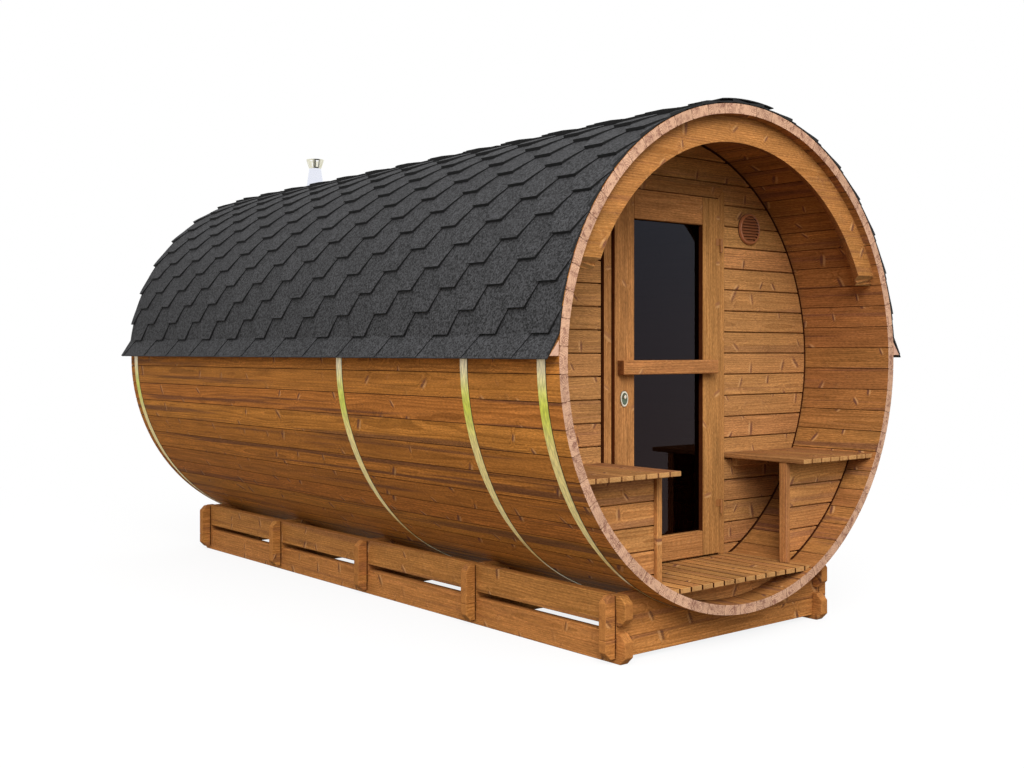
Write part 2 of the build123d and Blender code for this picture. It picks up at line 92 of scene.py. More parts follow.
def board_luck(tree, spread, nearest):
    """A board's own random values, its place in the patterns and the distance from its pith.

    It reads the board's directions from "grain" (along, across and through it, in metres) and
    the board's number from "board", so that no two boards are alike.
    """
    grain = add(tree, "Attribute", attribute_name="grain")["Vector"]
    board = add(tree, "Attribute", attribute_name="board")["Fac"]
    luck = add(tree, "TexWhiteNoise", {"W": board}, noise_dimensions="1D")
    place = add(tree, "VectorMath", {0: luck["Color"], 1: (40, 40, 40), 2: grain}, "MULTIPLY_ADD")[0]
    pith = add(tree, "VectorMath", {0: luck["Color"], 1: spread, 2: nearest}, "MULTIPLY_ADD")[0]
    pith = add(tree, "VectorMath", {0: grain, 1: (0, 1, 1), 2: pith}, "MULTIPLY_ADD")[0]
    return luck, place, add(tree, "VectorMath", {0: pith}, "LENGTH")["Value"]


def pine(name, early, late, streak, knot, tone=(0.86, 1.12), streaks=0.6, knots=0.6):
    """Planed heat-treated pine: growth rings, dark resin bands, fine fibres and slanting knots."""
    material, tree, shader = blank(name)
    luck, place, growth = board_luck(tree, (0, 0.10, 0.05), (0, -0.05, 0.03))

    knot_room = (0.22, 0.085, 1)          # at most one knot in a cell this long and wide
    knot_size = (0.0085, 0.034, 1)
    pale_shift = 0.013                    # a pale rim lies beside the dark core
    cell = add(tree, "VectorMath", {0: place, 1: knot_room}, "DIVIDE")[0]
    nearest = add(tree, "TexVoronoi", {"Vector": cell, "Scale": 1, "Randomness": 0.9},
                  voronoi_dimensions="2D")
    odds = add(tree, "SeparateColor", {0: nearest["Color"]})
    off = add(tree, "VectorMath", {0: cell, 1: nearest["Position"]}, "SUBTRACT")[0]
    off = add(tree, "VectorMath", {0: off, 1: (*knot_room[:2], 0)}, "MULTIPLY")[0]
    slant = add(tree, "MapRange", {0: odds["Red"], 3: -0.9, 4: 0.9})[0]
    off = add(tree, "VectorRotate", {"Vector": off, "Angle": slant}, rotation_type="Z_AXIS")[0]
    there = add(tree, "Math", {0: odds["Green"], 1: knots}, "LESS_THAN")[0]
    grown = add(tree, "MapRange", {0: odds["Blue"], 3: 1.7, 4: 0.85})[0]
    off = add(tree, "VectorMath", {0: off, "Scale": grown}, "SCALE")[0]
    spots = []
    for shift, outer, inner in ((0, 1.3, 0.5), (0, 4.0, 0.4), (pale_shift, 1.2, 0.4)):
        spot = add(tree, "VectorMath", {0: off, 1: (shift, 0, 0)}, "ADD")[0]
        spot = add(tree, "VectorMath", {0: spot, 1: knot_size}, "DIVIDE")[0]
        spot = add(tree, "VectorMath", {0: spot}, "LENGTH")["Value"]
        spots.append(add(tree, "MapRange", {0: spot, 1: outer, 2: inner, 4: there}, **soft)[0])
    core, swirl, pale = spots

    noises = []              # each as its cells per metre along, across and through the board
    for cells, detail, rough in (((1.4, 9, 9), 2, 0.5), ((5, 150, 150), 3, 0.5), ((60, 190, 190), 2, 0.5),
                                 ((4, 30, 30), 3, 0.5), ((0.4, 22, 22), 3, 0.55)):
        spot = add(tree, "VectorMath", {0: place, 1: cells}, "MULTIPLY")[0]
        noises.append(add(tree, "TexNoise", {"Vector": spot, "Scale": 1, "Detail": detail,
                                             "Roughness": rough})[0])
    bend, fibre, fleck, blotch, band = noises
    growth = add(tree, "Math", {0: bend, 1: 0.035, 2: growth}, "MULTIPLY_ADD")[0]
    growth = add(tree, "Math", {0: swirl, 1: 0.010, 2: growth}, "MULTIPLY_ADD")[0]
    growth = add(tree, "Math", {0: growth, 1: ring_width}, "DIVIDE")[0]
    growth = add(tree, "Math", {0: growth}, "FRACT")[0]
    autumn = add(tree, "MapRange", {0: growth, 1: 0.3, 2: 0.95}, **soft)[0]
    band = add(tree, "MapRange", {0: band, 1: 0.55, 2: 0.63, 4: streaks}, **soft)[0]

    colour = add(tree, "Mix", {0: autumn, 6: linear(early), 7: linear(late)}, **rgba)[2]
    colour = add(tree, "Mix", {0: band, 6: colour, 7: linear(streak)}, **rgba)[2]
    shade = add(tree, "MapRange", {0: luck["Value"], 3: tone[0], 4: tone[1]})[0]
    for noise, least, most in ((fibre, 0.84, 1.16), (fleck, 0.76, 1.24), (blotch, 0.82, 1.18)):
        noise = add(tree, "MapRange", {0: noise, 1: 0.3, 2: 0.7, 3: least, 4: most})[0]
        shade = add(tree, "Math", {0: shade, 1: noise}, "MULTIPLY")[0]
    drift = add(tree, "SeparateColor", {0: luck["Color"]})["Green"]
    drift = add(tree, "MapRange", {0: drift, 3: 0.494, 4: 0.505})[0]
    colour = add(tree, "HueSaturation", {"Hue": drift, "Value": shade, "Color": colour})[0]
    for spot, share, wood in ((pale, 0.5, "#D6A672"), (core, 0.9, knot)):
        spot = add(tree, "Math", {0: spot, 1: share}, "MULTIPLY")[0]
        colour = add(tree, "Mix", {0: spot, 6: colour, 7: linear(wood)}, **rgba)[2]
    gloss = add(tree, "MapRange", {0: autumn, 3: 0.75, 4: 0.65})[0]
    relief = add(tree, "Math", {0: fibre, 1: autumn}, "ADD")[0]
    relief = add(tree, "Bump", {"Strength": 0.3, "Distance": 0.0010, "Height": relief})[0]
    wire(shader, {**wood_surface, "Base Color": colour, "Roughness": gloss, "Normal": relief})
    return material


def end_grain(name, light, dark):
    """Sawn ends: pale, dry wood with growth rings round a pith and dark blushes."""
    material, tree, shader = blank(name)
    luck, place, radius = board_luck(tree, (0, 0.13, 0.07), (0, -0.065, -0.015))
    wobble = add(tree, "TexNoise", {"Vector": place, "Scale": 45, "Detail": 2})[0]
    rings = add(tree, "Math", {0: wobble, 1: 0.022, 2: radius}, "MULTIPLY_ADD")[0]
    rings = add(tree, "Math", {0: rings, 1: ring_width}, "DIVIDE")[0]
    rings = add(tree, "Math", {0: rings}, "FRACT")[0]
    rings = add(tree, "MapRange", {0: rings, 1: 0.35, 2: 0.9}, **soft)[0]
    heart = add(tree, "MapRange", {0: radius, 1: 0.050, 2: 0.012, 3: 0.25, 4: 0.75}, **soft)[0]
    rings = add(tree, "Math", {0: rings, 1: heart}, "MULTIPLY")[0]
    blush = add(tree, "TexNoise", {"Vector": place, "Scale": 32, "Detail": 5, "Roughness": 0.8})[0]
    blush = add(tree, "MapRange", {0: blush, 1: 0.45, 2: 0.65, 4: 0.85}, **soft)[0]
    dim = add(tree, "Math", {0: rings, 1: blush}, "MAXIMUM")[0]
    colour = add(tree, "Mix", {0: dim, 6: linear(light), 7: linear(dark)}, **rgba)[2]
    shade = add(tree, "MapRange", {0: luck["Value"], 3: 0.88, 4: 1.10})[0]
    colour = add(tree, "HueSaturation", {"Value": shade, "Color": colour})[0]
    wire(shader, {**wood_surface, "Roughness": 0.85, "Base Color": colour})
    return material


def cad_shape(node):
    """A CAD node's shape, with its loose triangles merged."""
    shape = bmesh.new()
    shape.from_mesh(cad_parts[node].data)
    bmesh.ops.remove_doubles(shape, verts=shape.verts, dist=merge_reach)
    return shape


def ease(shape, edge):
    """Plane the sharp edges off a shape."""
    bmesh.ops.dissolve_limit(shape, angle_limit=flat_angle, verts=shape.verts, edges=shape.edges)
    sharp = [e for e in shape.edges if e.is_manifold and e.calc_face_angle() > sharp_angle]
    bmesh.ops.bevel(shape, geom=sharp, offset=edge, segments=2, profile=0.5, affect="EDGES",
                    clamp_overlap=True)


def join(whole, shape):
    """Add a shape to a whole one."""
    part = bpy.data.meshes.new("part")
    shape.to_mesh(part)
    shape.free()
    whole.from_mesh(part)
    bpy.data.meshes.remove(part)


def loose_boards(shape):
    """The corners of each separate board of a shape, in the same order on every run."""
    left = dict.fromkeys(shape.verts)
    while left:
        board = []
        near = [left.popitem()[0]]
        while near:
            corner = near.pop()
            board.append(corner)
            for edge in corner.link_edges:
                other = edge.other_vert(corner)
                if other in left:
                    del left[other]
                    near.append(other)
        yield board


def give_grain(shape, along, dice):
    """Each board's grain, along one axis and centred on the board, and a number of its own."""
    grain = shape.verts.layers.float_vector.new("grain")
    number = shape.verts.layers.float.new("board")
    for board in loose_boards(shape):
        sides = [(max(v.co[i] for v in board), min(v.co[i] for v in board)) for i in range(3)]
        across, through = sorted((i for i in range(3) if i != along), key=lambda i: sides[i][1] - sides[i][0])
        middle = [(high + low) / 2 for high, low in sides]
        own = dice.random()
        for corner in board:
            corner[grain] = (corner.co[along], corner.co[across] - middle[across],
                             corner.co[through] - middle[through])
            corner[number] = own
    for face in shape.faces:
        face.material_index = int(abs(face.normal[along]) > end_facing)


def stand(name, data):
    """An object in the scene, from its mesh, lamp or lens."""
    made = bpy.data.objects.new(name, data)
    bpy.context.scene.collection.objects.link(made)
    return made


def put_in_place(name, shape, body, nodes, woods):
    """The finished piece: it rides its body and stands for its CAD nodes."""
    mesh = bpy.data.meshes.new(name)
    shape.to_mesh(mesh)
    shape.free()
    for wood in woods:
        mesh.materials.append(wood)
    made = stand(name, mesh)
    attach(made, body)
    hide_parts(*nodes)
    return made


def eased_timbers(name, nodes, along, woods, body="sauna", edge=timber_edge):
    """CAD timbers with planed-off edges and grain along one axis, as one piece."""
    joined = bmesh.new()
    for node in nodes:
        shape = cad_shape(node)
        ease(shape, edge)
        join(joined, shape)
    give_grain(joined, along, random.Random(name))
    return put_in_place(name, joined, body, nodes, woods)


base_pine = pine("oiled_base_pine", "#BA7E44", "#A06934", "#7C4E36", "#64402F", tone=(0.92, 1.03))
base_end = end_grain("base_end_grain", "#B4783F", "#8E5A30")
base_woods = (base_pine, base_end)
eased_timbers("base_lower_rails", ["lower_rails"], y_way, base_woods)
eased_timbers("base_upper_rails", ["upper_rails"], y_way, base_woods)

# Cross beams: a board and a cradle at each of five stations, of the same pine. The cradles are
# sawn to the barrel's curve and carry it; half laps lock them between the rails.
ear_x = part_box("upper_rails")[1].x
ear_gap = 0.007
# The ears' roots take a near-black wood: painted shade in the gap where they leave the rails.
ear_shadow = end_grain("dark_ear_roots", "#4A2812", "#381D0C")


def darken_ears(timbers):
    """The cheeks of the ears, painted dark in a narrow strip where they leave the rails: painted shade in the
    gap there.
    """
    shape = bmesh.new()
    shape.from_mesh(timbers.data)
    for x in (ear_x, ear_x + ear_gap, -ear_x, -ear_x - ear_gap):
        everything = shape.verts[:] + shape.edges[:] + shape.faces[:]
        bmesh.ops.bisect_plane(shape, geom=everything, plane_co=(x, 0, 0), plane_no=(1, 0, 0))
    for face in shape.faces:
        if abs(face.normal.y) > side_facing and ear_x < abs(face.calc_center_median().x) < ear_x + ear_gap:
            face.material_index = 2
    shape.to_mesh(timbers.data)
    shape.free()


for piece, node in (("base_cross_boards", "lower_crossbeams"), ("base_cradles", "cradle_beams")):
    darken_ears(eased_timbers(piece, [node], x_way, (*base_woods, ear_shadow)))

# Staves: 64 planed pine staves laid round the barrel, tongued into one another. A narrow open
# joint shows between them, and their sawn ends make the rims' ring of pink end grain.
stave_count = 64
stave_thickness = 0.042
joint_half_width = 0.0008
joint_depth = 0.007
joint_chamfer = 0.0010
end_chamfer = 0.0007
stave_flat = 0.0004          # more than a flat face lies inside its circle
hoop_low, hoop_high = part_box("hoops")
axis_height = (hoop_low.z + hoop_high.z) / 2
stave_low, stave_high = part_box("shell_segment_1")
outer_radius = stave_high.x
inner_radius = outer_radius - stave_thickness
front_y, rear_y = stave_low.y, stave_high.y
stave_turn = 2 * math.pi / stave_count

round_barrel = tree = bpy.data.node_groups.new("laid_round_barrel", "GeometryNodeTree")
kinds = {"Piece": "Geometry", "Courses": "Int", "Columns": "Int", "Pitch": "Float", "First Y": "Float",
         "Stagger": "Float", "First Angle": "Float", "Step Angle": "Float", "Facing": "Float",
         "Axis Height": "Float", "Seed": "Int", "Face": "Material", "Edge": "Material"}
for title, kind in kinds.items():
    tree.interface.new_socket(title, in_out="INPUT", socket_type=f"NodeSocket{kind}")
tree.interface.new_socket("Laid", in_out="OUTPUT", socket_type="NodeSocketGeometry")
given = add(tree, "NodeGroupInput")
index = add(tree, "GeometryNodeInputIndex")[0]
total = add(tree, "Math", {0: given["Courses"], 1: given["Columns"]}, "MULTIPLY")[0]
points = add(tree, "GeometryNodeMeshLine", {"Count": total, "Offset": (0, 0, 0)})[0]
course = add(tree, "Math", {0: index, 1: given["Columns"]}, "DIVIDE")[0]
course = add(tree, "Math", {0: course}, "FLOOR")[0]
column = add(tree, "Math", {0: index, 1: given["Columns"]}, "MODULO")[0]
odd = add(tree, "Math", {0: course, 1: 2}, "MODULO")[0]
y = add(tree, "Math", {0: column, 1: given["Pitch"], 2: given["First Y"]}, "MULTIPLY_ADD")[0]
y = add(tree, "Math", {0: odd, 1: given["Stagger"], 2: y}, "MULTIPLY_ADD")[0]
spot = add(tree, "CombineXYZ", {1: y, 2: given["Axis Height"]})[0]
points = add(tree, "GeometryNodeSetPosition", {"Geometry": points, "Position": spot})[0]
angle = add(tree, "Math", {0: course, 1: given["Step Angle"], 2: given["First Angle"]}, "MULTIPLY_ADD")[0]
angle = add(tree, "Math", {0: angle, 1: -1}, "MULTIPLY")[0]
turn = add(tree, "CombineXYZ", {1: angle, 2: given["Facing"]})[0]
laid = add(tree, "GeometryNodeInstanceOnPoints",
           {"Points": points, "Instance": given["Piece"], "Rotation": turn})[0]
chance = add(tree, "FunctionNodeRandomValue", {"Seed": given["Seed"]}, data_type="FLOAT")["Value"]
laid = add(tree, "GeometryNodeStoreNamedAttribute", {"Geometry": laid, "Name": "board", "Value": chance},
           data_type="FLOAT", domain="INSTANCE")[0]
laid = add(tree, "GeometryNodeRealizeInstances", {"Geometry": laid})[0]
laid = add(tree, "GeometryNodeSetMaterial", {"Geometry": laid, "Material": given["Face"]})[0]
cut = add(tree, "GeometryNodeInputNamedAttribute", {"Name": "edge"}, data_type="BOOLEAN")[0]
laid = add(tree, "GeometryNodeSetMaterial",
           {"Geometry": laid, "Selection": cut, "Material": given["Edge"]})[0]
add(tree, "NodeGroupOutput", {0: laid})


def lay_round(shape, piece, **sizes):
    """Add a piece to a shape, laid round the barrel's axis in courses."""
    carrier = stand(piece.name, piece)
    modifier = carrier.modifiers.new(piece.name, "NODES")
    modifier.node_group = round_barrel
    sizes["Axis_Height"] = axis_height
    for socket in round_barrel.interface.items_tree:
        key = socket.name.replace(" ", "_")
        if socket.in_out == "INPUT" and key in sizes:
            modifier[socket.identifier] = sizes[key]
    evaluated = carrier.evaluated_get(bpy.context.evaluated_depsgraph_get())
    mesh = bpy.data.meshes.new_from_object(evaluated)
    bpy.data.objects.remove(carrier)
    if mesh.materials[0] is None:
        mesh.materials.pop(index=0)
    shape.from_mesh(mesh)
    bpy.data.meshes.remove(mesh)


def skin(shape, loops):
    """Rows of faces between each loop of corners and the next."""
    rows = []
    for one, other in zip(loops, loops[1:]):
        pairs = [(i, (i + 1) % len(one)) for i in range(len(one))]
        rows.append([shape.faces.new((one[i], one[j], other[j], other[i])) for i, j in pairs])
    return rows


def close_ends(shape, loops):
    """The faces that close the first and the last loop of corners."""
    return [shape.faces.new(loops[0][::-1]), shape.faces.new(loops[-1])]


def face_out(shape):
    """Turn a closed shape's faces outwards."""
    bmesh.ops.recalc_face_normals(shape, faces=shape.faces)


def marked_mesh(name, shape, cut):
    """The mesh of a closed shape, with its sawn or cut faces marked for the second material."""
    face_out(shape)
    shape.faces.index_update()
    numbers = [face.index for face in cut]
    mesh = bpy.data.meshes.new(name)
    shape.to_mesh(mesh)
    shape.free()
    mark = mesh.attributes.new("edge", "BOOLEAN", "FACE")
    for number in numbers:
        mark.data[number].value = True
    return mesh


def stave():
    """One stave at the barrel's right-hand side, with a groove along each joint."""
    shape = bmesh.new()
    outline = []
    for radius, into in ((inner_radius, 1), (outer_radius, -1)):
        half = stave_turn / 2
        joint = joint_half_width / radius
        slope = joint_chamfer / radius
        corner = [(radius + into * joint_depth, half), (radius + into * joint_depth, half - joint),
                  (radius + into * joint_chamfer, half - joint), (radius, half - joint - slope), (radius, 0)]
        side = [(r, -a) for r, a in corner] + [(r, a) for r, a in reversed(corner[:-1])]
        outline += side if into > 0 else side[::-1]
    rings = []
    narrowed = 1 - end_chamfer / (outer_radius * stave_turn / 2)
    for y, share in ((front_y, narrowed), (front_y + 2 * end_chamfer, 1), (rear_y - 2 * end_chamfer, 1),
                     (rear_y, narrowed)):
        rings.append([shape.verts.new((r * math.cos(a * share), y, r * math.sin(a * share)))
                      for r, a in outline])
    skin(shape, rings)
    ends = close_ends(shape, rings)
    grain = shape.verts.layers.float_vector.new("grain")
    for corner in shape.verts:
        corner[grain] = (corner.co.y, corner.co.z, corner.co.x - outer_radius)
    return marked_mesh("stave", shape, ends)


stave_pine = pine("heat_treated_stave_pine", "#C07C3A", "#A2662C", "#64402F", "#664238", streaks=0.75,
                  knots=0.45)
# The staves' inner faces take a darker copy of the stave pine: painted shade for the porch ceiling and the
# inside.
inner_pine = pine("heat_treated_inner_pine", "#A6703F", "#8E5E32", "#6A4438", "#664238")
rim_grain = end_grain("stave_end_grain", "#CEA588", "#6A3E36")
# The faces inside the open joints take a near-black wood: painted shade in the gaps.
stave_joint = end_grain("dark_stave_joints", "#5E381C", "#442613")
shell = bmesh.new()
lay_round(shell, stave(), Courses=stave_count, Columns=1, Step_Angle=stave_turn, Seed=4, Face=stave_pine,
          Edge=rim_grain)
segments = [f"shell_segment_{number}" for number in range(1, 9)]
staves = put_in_place("barrel_staves", shell, "sauna", segments,
                      (stave_pine, rim_grain, inner_pine, stave_joint))
for face in staves.data.polygons:
    out = math.hypot(face.center.x, face.center.z - axis_height)
    if abs(face.normal.y) < 0.5 and out < outer_radius - stave_flat:
        face.material_index = 2 if out < inner_radius + stave_flat else 3

# Hoops: four flat steel bands, yellow passivated, drawn tight round the staves. Under the barrel
# they narrow towards their joint. Their satin straw yellow carries a painted reflection, greenish in a
# band below the axis's level and pale at the eaves; a dark strip along each front edge is painted shade.
hoop_thickness = 0.0012
hoop_steps = 192
hoop_edge_width = 0.0028
narrow_from, narrow_to, narrow_share = 20, 62, 0.7       # degrees below the axis's level
reflected_green_level, reflected_green_reach = axis_height - 0.19, 0.18
hoop_steel, tree, shader = blank("yellow_passivated_steel")
# Height paints a reflection on the bands: a greenish band below the axis's level and a pale top at the eaves.
place = add(tree, "TexCoord")["Object"]
height = add(tree, "SeparateXYZ", {0: place})["Z"]
height = add(tree, "Math", {0: height, 1: reflected_green_level}, "SUBTRACT")[0]
painted_pale_top = add(tree, "MapRange", {0: height, 1: 0.0, 2: reflected_green_reach})[0]
height = add(tree, "Math", {0: height}, "ABSOLUTE")[0]
painted_green_band = add(tree, "MapRange", {0: height, 1: reflected_green_reach, 2: 0.0, 4: 0.85}, **soft)[0]
patina = add(tree, "Mapping", {"Vector": place, "Scale": (30, 110, 30)})[0]
patina = add(tree, "TexNoise", {"Vector": patina, "Scale": 1, "Detail": 4})[0]
colour = add(tree, "Mix", {0: painted_pale_top, 6: linear("#EAD486"), 7: linear("#FCEBC2")}, **rgba)[2]
colour = add(tree, "Mix", {0: painted_green_band, 6: colour, 7: linear("#C8D034")}, **rgba)[2]
tone = add(tree, "MapRange", {0: patina, 1: 0.3, 2: 0.7, 3: 0.62, 4: 1.18})[0]
colour = add(tree, "HueSaturation", {"Value": tone, "Color": colour})[0]
gloss = add(tree, "MapRange", {0: patina, 1: 0.3, 2: 0.7, 3: 0.34, 4: 0.5})[0]
wire(shader, {"Metallic": 0.4, "Base Color": colour, "Roughness": gloss})
hoop_edge, _, shader = blank("browned_hoop_edge")        # a dark strip along the front edge: painted shade
wire(shader, {"Base Color": linear("#3E2C12"), "Roughness": 0.7})

hoop_outside = hoop_high.x
hoop_inside = hoop_outside - hoop_thickness
plain_hoops = cad_shape("hoops")
bands = bmesh.new()
for band in loose_boards(plain_hoops):
    hoop_front, hoop_back = min(v.co.y for v in band), max(v.co.y for v in band)
    rings = []
    for step in range(hoop_steps):
        angle = 2 * math.pi * step / hoop_steps
        below = math.degrees(math.asin(max(-math.sin(angle), 0)))
        share = min(max((below - narrow_from) / (narrow_to - narrow_from), 0), 1)
        front = hoop_front + (hoop_back - hoop_front) * narrow_share * share**2 * (3 - 2 * share)
        profile = ((hoop_inside, front), (hoop_inside, hoop_back), (hoop_outside, hoop_back),
                   (hoop_outside, front + hoop_edge_width), (hoop_outside, front))
        rings.append([bands.verts.new((radius * math.cos(angle), y, axis_height + radius * math.sin(angle)))
                      for radius, y in profile])
    # The strip nearest each band's front edge and the edge itself take the dark material: painted shade.
    for faces in skin(bands, rings + rings[:1]):
        for face in faces[3:]:
            face.material_index = 1
plain_hoops.free()
face_out(bands)
put_in_place("steel_hoops", bands, "sauna", ["hoops"], (hoop_steel, hoop_edge))

# End walls: horizontal pine boards, tongued together with an open V joint on the outside. They are
# scribed to the staves and the door's casing with a gap over a rebate; the joints, the gap, the rebate
# and a narrow lip in it are painted dark as shade.
board_height = 0.1006
board_datum = axis_height + 0.024
board_groove = 0.0027
board_groove_depth = 0.016
board_chamfer = 0.0022
rebate_depth, rebate_most_share = 0.030, 0.75
stave_gap = 0.012
casing_gap = 0.010
dark_lip = 0.0015
scribe_clearance = 0.0003
least_back_half, least_face_half = 0.02, 0.01
level_steps = 6


def board_rows(shape, low_x, high_x, low_z, high_z, face_y, back_y, lot, side_gap):
    """Boards that fill a field of a wall as far as the staves; a row keeps its board across fields."""
    reach = inner_radius - scribe_clearance
    low_z = max(low_z, axis_height - reach + stave_gap)
    high_z = min(high_z, axis_height + reach - stave_gap)
    inward = 1 if face_y < back_y else -1
    step_y = face_y + inward * min(rebate_depth, rebate_most_share * abs(back_y - face_y))
    grain = shape.verts.layers.float_vector["grain"]
    number = shape.verts.layers.float["board"]
    first = math.floor((low_z - board_datum) / board_height)
    for row in range(first, math.ceil((high_z - board_datum) / board_height)):
        row_low = board_datum + row * board_height
        row_high = row_low + board_height
        own = random.Random(f"{lot} {row}").random()
        low, high = max(low_z, row_low), min(high_z, row_high)
        levels = [(low, 0)]
        if low == row_low:
            levels = [(low, board_groove_depth), (low + board_groove, board_groove_depth),
                      (low + board_groove, board_chamfer), (low + board_groove + board_chamfer, 0)]
        last = [(high, 0)]
        if high == row_high:
            last = [(high - board_groove - board_chamfer, 0), (high - board_groove, board_chamfer),
                    (high - board_groove, board_groove_depth), (high, board_groove_depth)]
        flat_low, flat_high = levels[-1][0], last[0][0]
        if flat_high - flat_low < board_chamfer:
            continue
        levels += [(flat_low + (flat_high - flat_low) * step / level_steps, 0)
                   for step in range(1, level_steps)]
        loops = []
        for level, depth in levels + last:
            above = level - axis_height
            back_half = math.sqrt(max(reach**2 - above**2, least_back_half**2))
            face_half = math.sqrt(max((reach - stave_gap) ** 2 - above**2, least_face_half**2))
            left, right = max(low_x, -back_half), min(high_x, back_half)
            face_left, face_right = max(low_x + side_gap, -face_half), min(high_x - side_gap, face_half)
            if face_right - face_left < board_chamfer:
                continue
            near = face_y + inward * depth
            loop = [(face_left, near), (face_right, near), (face_right, step_y), (right - dark_lip, step_y),
                    (right - dark_lip, face_y), (right, face_y), (right, back_y), (left, back_y), (left, face_y),
                    (left + dark_lip, face_y), (left + dark_lip, step_y), (face_left, step_y)]
            loops.append([shape.verts.new((x, y, level)) for x, y in loop])
            for corner in loops[-1]:
                corner[grain] = (corner.co.x, level - (row_low + row_high) / 2, corner.co.y - back_y)
                corner[number] = own
        for faces in skin(shape, loops):
            # Every face but the board's face and back takes the dark wood: painted shade in the joints, the
            # gap and the rebate.
            for i, face in enumerate(faces):
                face.material_index = int(i not in (0, 6))      # all but the face and the back are dark
        if len(loops) > 1:
            close_ends(shape, loops)


def board_wall(name, fields, nodes, woods):
    """A wall of boards from its fields, as one piece."""
    shape = bmesh.new()
    shape.verts.layers.float_vector.new("grain")
    shape.verts.layers.float.new("board")
    for field in fields:
        board_rows(shape, *field)
    face_out(shape)
    put_in_place(name, shape, "sauna", nodes, woods)


wall_pine = pine("heat_treated_wall_pine", "#B88450", "#A07042", "#7E5540", "#6E4638", tone=(0.88, 1.10),
                 streaks=0.4, knots=0.75)
# Dark wood for the boards' joints, gaps and rebates and for the slats' sides: painted shade.
wall_shade = end_grain("dark_wall_edges", "#4A2410", "#34170A")
wall_woods = (wall_pine, wall_shade)
casing_low, casing_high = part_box("door_jamb_left")[0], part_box("door_jamb_right")[1]
wall_low, wall_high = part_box("front_wall_left")[0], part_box("front_wall_top")[1]
front_fields = [(low_x, high_x, low_z, high_z, wall_low.y, wall_high.y, "front", casing_gap)
                for low_x, high_x, low_z, high_z in (
                    (-inner_radius, inner_radius, 0, casing_low.z),
                    (-inner_radius, casing_low.x, casing_low.z, casing_high.z),
                    (casing_high.x, inner_radius, casing_low.z, casing_high.z),
                    (-inner_radius, inner_radius, casing_high.z, wall_high.z))]
board_wall("front_wall_boards", front_fields,
           [f"front_wall_{side}" for side in ("left", "right", "top", "bottom")], wall_woods)
rear_low, rear_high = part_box("rear_wall")
rear_field = (rear_low.x, rear_high.x, rear_low.z, rear_high.z, rear_high.y, rear_low.y, "rear", casing_gap)
board_wall("rear_wall_boards", [rear_field], ["rear_wall"], wall_woods)

# Floors: pine slats along the barrel with open gaps, on joists sawn to the staves' curve.
# The slats' ends are left sawn and catch the light at the front of the porch.
slat_edge = 0.003
porch_pine = pine("oiled_porch_pine", "#B8824C", "#A06C3C", "#7E5540", "#6E4638", streaks=0.5)
porch_end = end_grain("porch_slat_end_grain", "#BA8C58", "#8E6038")
porch_woods = (porch_pine, porch_end)
slat_woods = (*porch_woods, wall_shade)


def darken_sides(timbers, wood):
    """Sides that face across the barrel take the given dark wood: painted shade in the gaps beside them."""
    for face in timbers.data.polygons:
        if abs(face.normal.x) > side_facing:
            face.material_index = wood


eased_timbers("floor_joist_boards", ["floor_joists"], x_way, porch_woods)
# The slats' sides along the open gaps take the dark edge wood: painted shade.
for place in ("porch", "cabin"):
    darken_sides(eased_timbers(f"{place}_floor_slats", [f"{place}_floor"], y_way, slat_woods,
                               edge=slat_edge), 2)

# Door frame: pine jambs and head that stand a little proud of the wall boards, mitred in front.
# They are screwed to the boards, and their sides are painted dark as shade.
door_edge = 0.003
door_pine = pine("oiled_door_pine", "#AE7A48", "#9C693A", "#8C5F38", "#946544", tone=(0.95, 1.06),
                 streaks=0.3, knots=0.5)
# Dark wood for the timbers' ends, and on their sides painted shade.
door_end_and_shade = end_grain("dark_door_edges", "#552A13", "#3E1D0D")
door_woods = (door_pine, door_end_and_shade)
darken_sides(eased_timbers("door_jambs", ["door_jamb_left", "door_jamb_right"], z_way, door_woods,
                           edge=door_edge), 1)
eased_timbers("door_frame_head", ["door_head"], x_way, door_woods, edge=door_edge)

# Door leaf: pine stiles and rails tenoned together round one pane, with a thick pine bar
# screwed across it as a pull.
bar_end = end_grain("pull_bar_end_grain", "#7E4C28", "#54301A")
# The stiles' sides are painted dark as shade, like the jambs'.
darken_sides(eased_timbers("door_leaf_stiles", ["door_stiles"], z_way, door_woods, "door",
                           door_edge), 1)
eased_timbers("door_leaf_rails", ["door_rails"], x_way, door_woods, "door", door_edge)
eased_timbers("door_pull_bar", ["door_pull"], x_way, (door_pine, bar_end), "door", door_edge)

# Pane: toughened float glass with a dark grey tint; its reflections are tinted pink low down and blue at the
# top, a painted reflection.
# It mirrors the porch at a slant, and little of the unlit cabin shows through it.
tinted_glass, tree, shader = blank("grey_tinted_float_glass")
pane_levels = [v.co.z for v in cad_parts["door_glass"].data.vertices]
place = add(tree, "TexCoord")["Object"]
level = add(tree, "SeparateXYZ", {0: place})["Z"]
level = add(tree, "MapRange", {0: level, 1: min(pane_levels), 2: max(pane_levels)})[0]
# Height tints the pane's reflections from pink to blue: painted reflection.
painted_reflection_tint = add(tree, "Mix", {0: level, 6: linear("#FFBEB4"), 7: linear("#DADEFF")}, **rgba)[2]
wire(shader, {"Roughness": 0.02, "IOR": 1.3, "Base Color": linear("#383842"), "Transmission Weight": 1.0,
              "Specular Tint": painted_reflection_tint})


def coat(node, material):
    """Give a CAD node's own mesh a material."""
    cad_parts[node].data.materials.clear()
    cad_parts[node].data.materials.append(material)


coat("door_glass", tinted_glass)

# Lock: an oval rose with a raised lip round a dark dish and a small domed knob, on the closing stile. The
# dish's dark nickel also covers the rose's outer edge, as painted shade.
# It is of satin nickel on brass with fine brushing, and screws hold it from behind.


